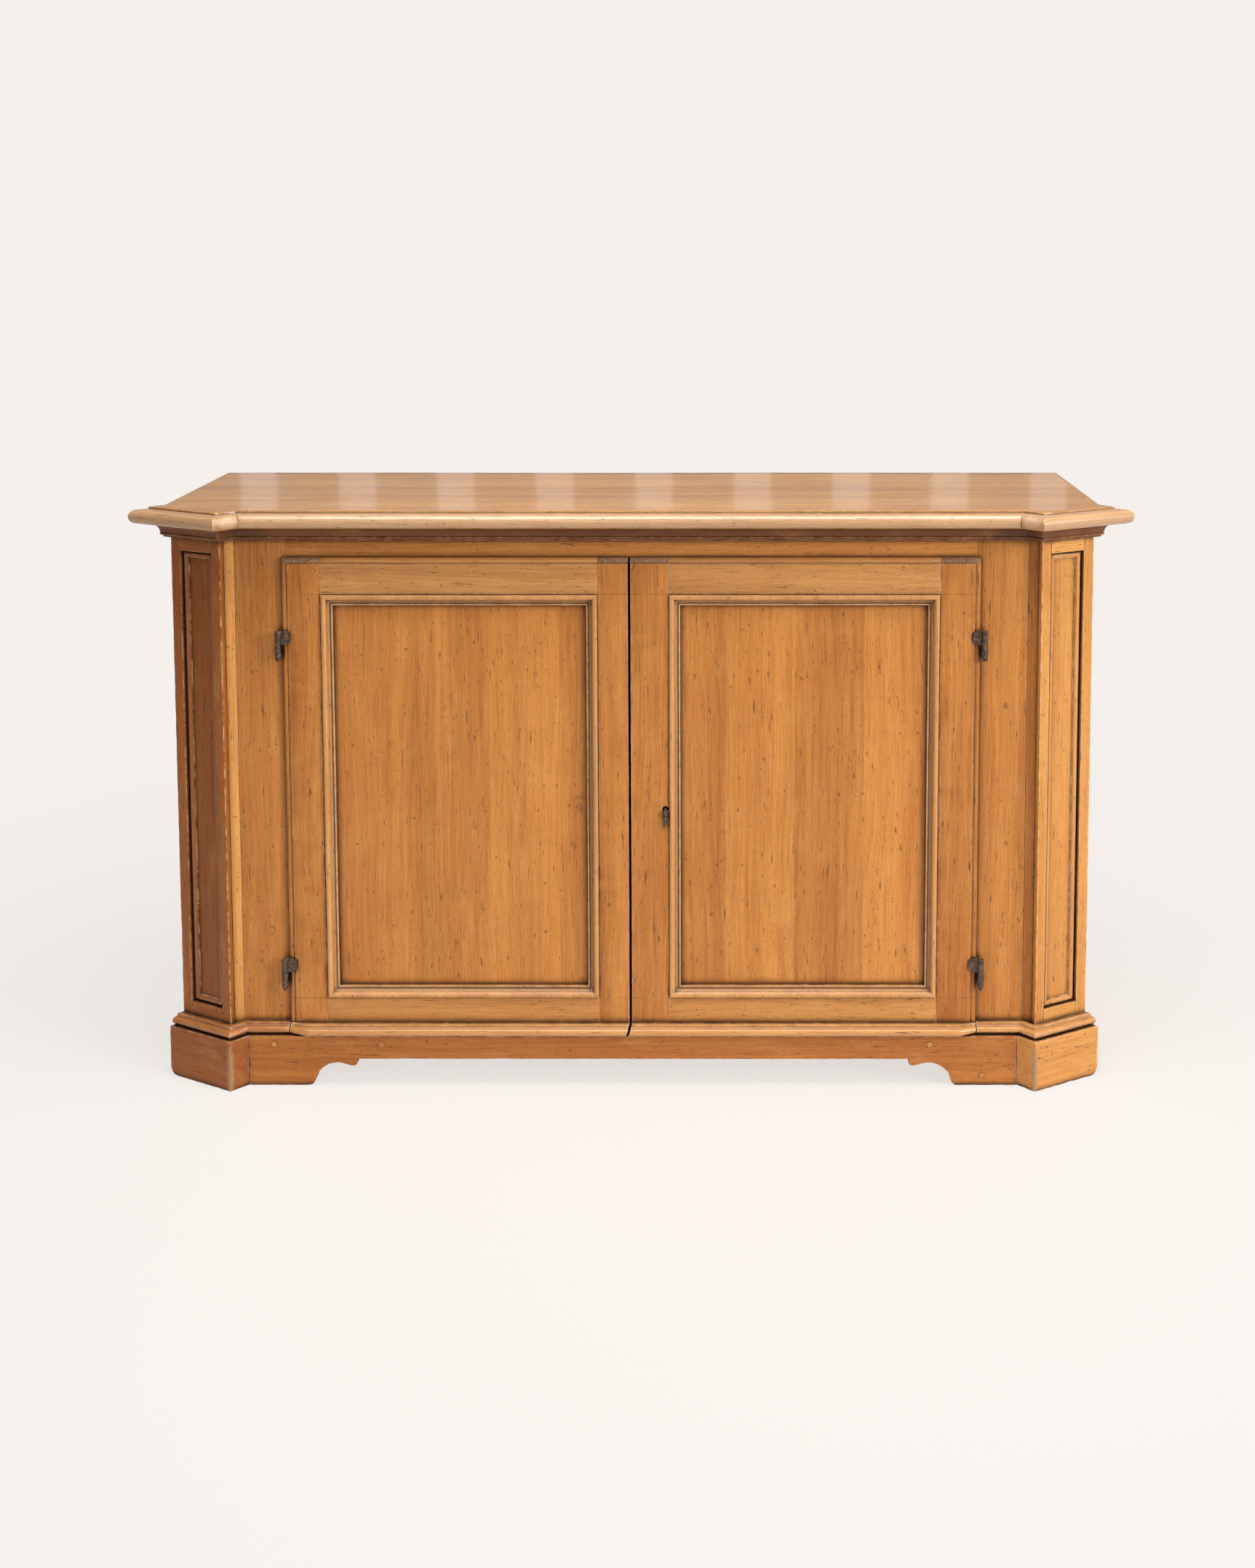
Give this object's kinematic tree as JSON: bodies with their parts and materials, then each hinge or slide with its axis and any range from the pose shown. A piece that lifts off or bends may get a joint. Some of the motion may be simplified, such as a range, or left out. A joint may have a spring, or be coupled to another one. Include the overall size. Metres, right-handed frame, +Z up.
{
  "type": "sideboard",
  "caption": "Antique wooden sideboard with canted corner pilasters, two panelled doors on iron lift-off hinges, moulded top and shaped plinth.",
  "frame": {"origin": "middle of the outer box at floor level", "axes": "+X along the width towards the right-hand side seen from the front, +Y from the front towards the back, +Z up"},
  "size_m": [1.6996, 0.532, 1],
  "materials": {
    "walnut": "waxed",
    "interior_wood": "raw",
    "wrought_iron": "rusted"
  },
  "bodies": {
    "carcass": {"top_board": "walnut", "top_edge_front": "walnut", "top_edge_left": "walnut", "top_edge_right": "walnut", "cornice": "walnut", "front_stile_left": "walnut", "front_stile_right": "walnut", "front_top_rail": "walnut", "front_bottom_rail": "walnut", "corner_post_left": "walnut", "corner_post_right": "walnut", "pilaster_left_inner_stile": "walnut", "pilaster_left_outer_stile": "walnut", "pilaster_left_top_rail": "walnut", "pilaster_left_bottom_rail": "walnut", "pilaster_left_panel": "walnut", "pilaster_left_bead": "walnut", "pilaster_right_inner_stile": "walnut", "pilaster_right_outer_stile": "walnut", "pilaster_right_top_rail": "walnut", "pilaster_right_bottom_rail": "walnut", "pilaster_right_panel": "walnut", "pilaster_right_bead": "walnut", "side_left": "walnut", "side_right": "walnut", "back_panel": "interior_wood", "bottom_board": "interior_wood", "shelf": "interior_wood", "plinth_front": "walnut", "plinth_left": "walnut", "plinth_right": "walnut", "base_moulding_left": "walnut", "base_moulding_right": "walnut", "hinge_pintle_left_upper": "wrought_iron", "hinge_pintle_left_lower": "wrought_iron", "hinge_pintle_right_upper": "wrought_iron", "hinge_pintle_right_lower": "wrought_iron"},
    "door_left": {"door_left_hinge_stile": "walnut", "door_left_meeting_stile": "walnut", "door_left_top_rail": "walnut", "door_left_bottom_rail": "walnut", "door_left_panel": "walnut", "door_left_panel_moulding": "walnut", "door_left_base_moulding": "walnut", "door_left_hinge_eye_upper": "wrought_iron", "door_left_hinge_eye_lower": "wrought_iron", "bolt_keeper": "wrought_iron"},
    "leaf_bolt": {"leaf_bolt": "wrought_iron"},
    "door_right": {"door_right_hinge_stile": "walnut", "door_right_meeting_stile": "walnut", "door_right_top_rail": "walnut", "door_right_bottom_rail": "walnut", "door_right_panel": "walnut", "door_right_panel_moulding": "walnut", "door_right_base_moulding": "walnut", "door_right_hinge_eye_upper": "wrought_iron", "door_right_hinge_eye_lower": "wrought_iron", "lock_case": "wrought_iron"},
    "lock_bolt": {"lock_bolt": "wrought_iron"},
    "key": {"key_pull": "wrought_iron"}
  },
  "joints": [
    {"name": "door_left_swing", "type": "hinge", "parent": "carcass", "child": "door_left", "pos_m": [-0.597, -0.19003, 0.48], "axis": [0, 0, 1], "range_deg": [-100, 0]},
    {"name": "door_right_swing", "type": "hinge", "parent": "carcass", "child": "door_right", "pos_m": [0.597, -0.19003, 0.48], "axis": [0, 0, 1], "range_deg": [0, 100]},
    {"name": "key_turn", "type": "hinge", "parent": "door_right", "child": "key", "pos_m": [0.0566, -0.186, 0.483], "axis": [0, 1, 0], "range_deg": [0, 90]},
    {"name": "lock_bolt_slide", "type": "slide", "parent": "door_right", "child": "lock_bolt", "axis": [-1, 0, 0], "range_m": [0, 0.0176]},
    {"name": "leaf_bolt_slide", "type": "slide", "parent": "door_left", "child": "leaf_bolt", "axis": [0, 0, 1], "range_m": [0, 0.015]}
  ],
  "couplings": [
    {"joint": "lock_bolt_slide", "follows": "key_turn", "m_per_rad": 0.0101}
  ]
}
